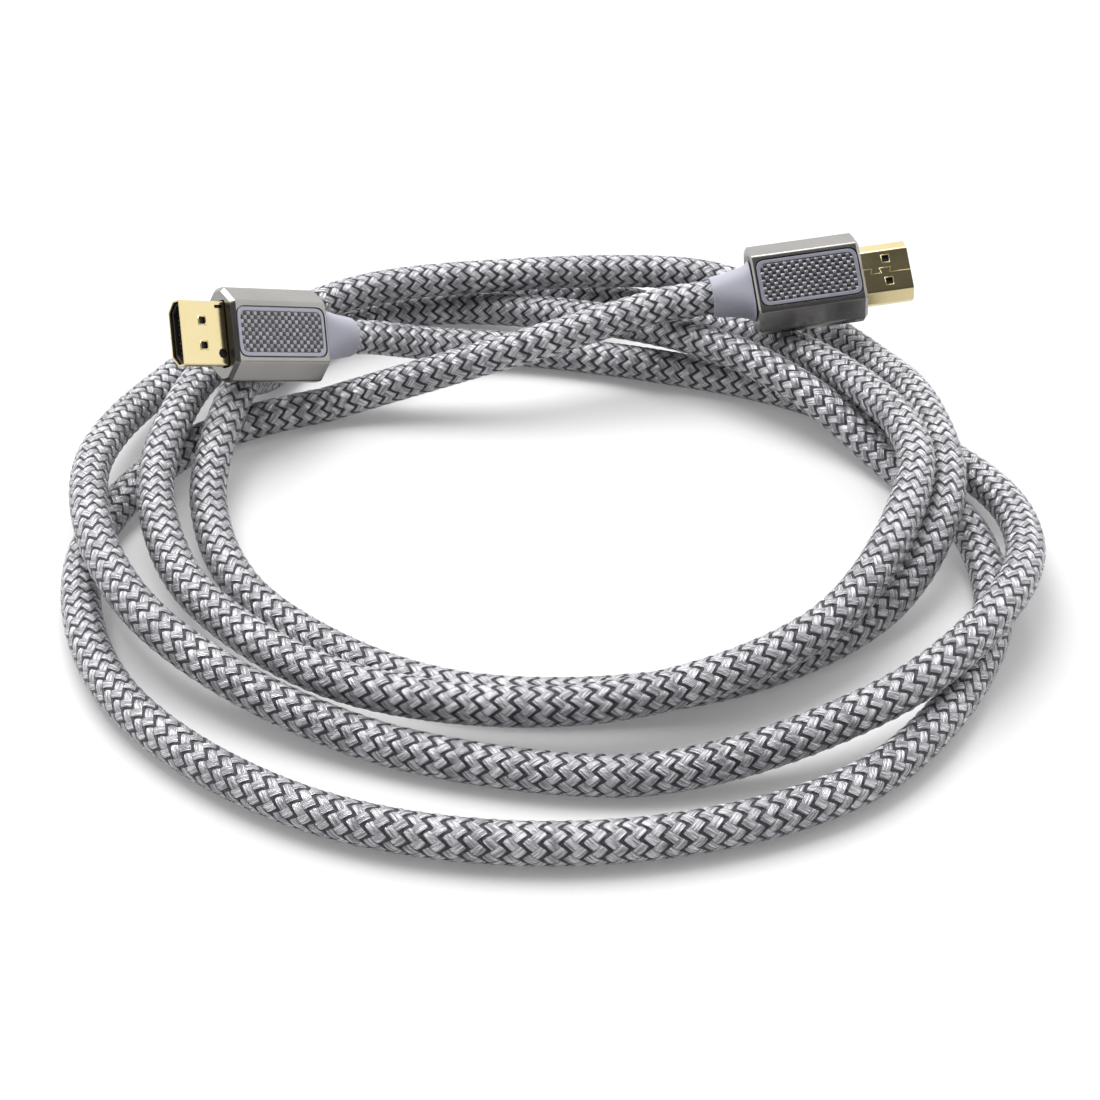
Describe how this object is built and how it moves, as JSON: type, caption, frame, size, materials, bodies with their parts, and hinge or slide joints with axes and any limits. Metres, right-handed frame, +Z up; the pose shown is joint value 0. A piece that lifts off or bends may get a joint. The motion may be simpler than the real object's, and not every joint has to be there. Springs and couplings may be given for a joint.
{
  "type": "hdmi cable",
  "caption": "Braided video cable lying in a flat loose coil, with a straight metal-shelled plug and a short flared strain relief on each end.",
  "frame": {"origin": "centre of the coil's outline on the surface that it lies on", "axes": "+Z up from that surface, -Y towards the picture's viewer, +X to the viewer's right"},
  "size_m": [0.1982, 0.1965, 0.0381],
  "materials": {
    "plug_gold": "bright gold plate",
    "housing_metal": "satin, finely blasted",
    "panel_weave": "woven grey and black under a clear coat",
    "relief_rubber": "smooth lavender grey, matte",
    "insulator_plastic": "matte black",
    "cord_braid": "silver and charcoal braided sleeve"
  },
  "bodies": {
    "root": {"cable": "cord_braid", "left_plug_shell": "plug_gold", "left_plug_insulator": "insulator_plastic", "left_contacts_wide_row": "plug_gold", "left_contacts_seam_row": "plug_gold", "left_housing": "housing_metal", "left_panel_wide_side": "panel_weave", "left_panel_seam_side": "panel_weave", "left_strain_relief": "relief_rubber", "right_plug_shell": "plug_gold", "right_plug_insulator": "insulator_plastic", "right_contacts_wide_row": "plug_gold", "right_contacts_seam_row": "plug_gold", "right_housing": "housing_metal", "right_panel_wide_side": "panel_weave", "right_panel_seam_side": "panel_weave", "right_strain_relief": "relief_rubber"}
  },
  "joints": []
}
